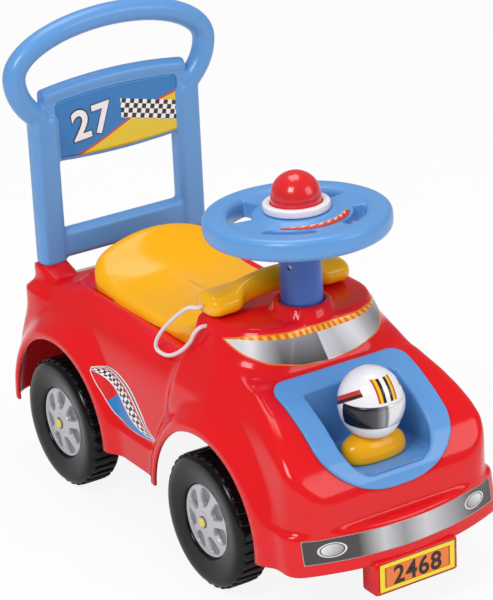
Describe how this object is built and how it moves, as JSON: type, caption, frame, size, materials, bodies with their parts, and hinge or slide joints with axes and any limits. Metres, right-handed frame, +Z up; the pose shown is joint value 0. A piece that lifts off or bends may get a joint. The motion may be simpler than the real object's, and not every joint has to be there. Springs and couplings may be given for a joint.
{
  "type": "ride on toys and pedal cars",
  "caption": "Red foot-to-floor ride-on car with blue steering wheel and push handle, yellow seat over a bin, toy driver and telephone",
  "frame": {"origin": "on the ground, at the middle of the car's length and width", "axes": "the car drives towards -Y, its left side is +X, and +Z is up"},
  "size_m": [0.257, 0.5439, 0.4615],
  "materials": {
    "red_moulding": "glossy blow-moulded plastic",
    "blue_moulding": "satin moulded plastic",
    "yellow_moulding": "glossy moulded plastic",
    "black_tyre": "glossy black moulded plastic wheel",
    "black_moulding": "black moulded plastic",
    "grey_hubcap": "light grey moulded plastic",
    "yellow_axle_cap": "pale yellow push-on cap",
    "steel_rod": "zinc plated steel",
    "white_moulding": "white moulded plastic",
    "red_horn": "glossy red moulded plastic",
    "chrome_visor": "silver foil",
    "white_cord": "braided white string"
  },
  "bodies": {
    "car": {"body_shell": "red_moulding", "bonnet_tray": "blue_moulding", "driver_shoulders": "yellow_moulding", "driver_helmet": "white_moulding", "driver_visor": "chrome_visor", "seat_hinge_pin": "steel_rod", "storage_bin": "black_moulding", "backrest_frame": "blue_moulding", "backrest_screw_left": "steel_rod", "backrest_screw_right": "steel_rod", "column_guide": "black_moulding", "rear_axle": "steel_rod", "axle_cap_rear_left": "yellow_axle_cap", "axle_cap_rear_right": "yellow_axle_cap", "handset_cord": "white_cord"},
    "steering": {"steering_wheel": "blue_moulding", "horn_collar": "white_moulding", "horn_squeaker": "white_moulding", "steering_column": "blue_moulding", "column_screw": "steel_rod", "steering_shaft": "steel_rod", "front_yoke": "black_moulding", "front_axle": "steel_rod", "axle_cap_front_left": "yellow_axle_cap", "axle_cap_front_right": "yellow_axle_cap"},
    "wheel_front_right": {"tyre_front_right": "black_tyre", "hubcap_front_right": "grey_hubcap"},
    "wheel_front_left": {"tyre_front_left": "black_tyre", "hubcap_front_left": "grey_hubcap"},
    "wheel_rear_right": {"tyre_rear_right": "black_tyre", "hubcap_rear_right": "grey_hubcap"},
    "wheel_rear_left": {"tyre_rear_left": "black_tyre", "hubcap_rear_left": "grey_hubcap"},
    "horn": {"horn_dome": "red_horn"},
    "seat": {"seat_lid": "yellow_moulding"},
    "phone": {"handset": "yellow_moulding"}
  },
  "joints": [
    {"name": "steer", "type": "hinge", "parent": "car", "child": "steering", "pos_m": [0, -0.107, 0.066], "axis": [0, 0.0415, 0.9991], "range_deg": [-25, 25]},
    {"name": "spin_front_right", "type": "hinge", "parent": "steering", "child": "wheel_front_right", "pos_m": [-0.1106, -0.11, 0.066], "axis": [1, 0, 0], "continuous": true},
    {"name": "spin_front_left", "type": "hinge", "parent": "steering", "child": "wheel_front_left", "pos_m": [0.1106, -0.11, 0.066], "axis": [1, 0, 0], "continuous": true},
    {"name": "spin_rear_right", "type": "hinge", "parent": "car", "child": "wheel_rear_right", "pos_m": [-0.1106, 0.16, 0.066], "axis": [1, 0, 0], "continuous": true},
    {"name": "spin_rear_left", "type": "hinge", "parent": "car", "child": "wheel_rear_left", "pos_m": [0.1106, 0.16, 0.066], "axis": [1, 0, 0], "continuous": true},
    {"name": "horn_press", "type": "slide", "parent": "steering", "child": "horn", "axis": [0, -0.0415, -0.9991], "range_m": [0, 0.004], "stiffness_N_per_m": 400, "springref_m": -0.001},
    {"name": "seat_open", "type": "hinge", "parent": "car", "child": "seat", "pos_m": [0, 0.185, 0.203], "axis": [-1, 0, 0], "range_deg": [0, 60]},
    {"name": "handset_lift", "type": "slide", "parent": "car", "child": "phone", "axis": [0, 0, 1], "range_m": [0, 0.035]}
  ]
}
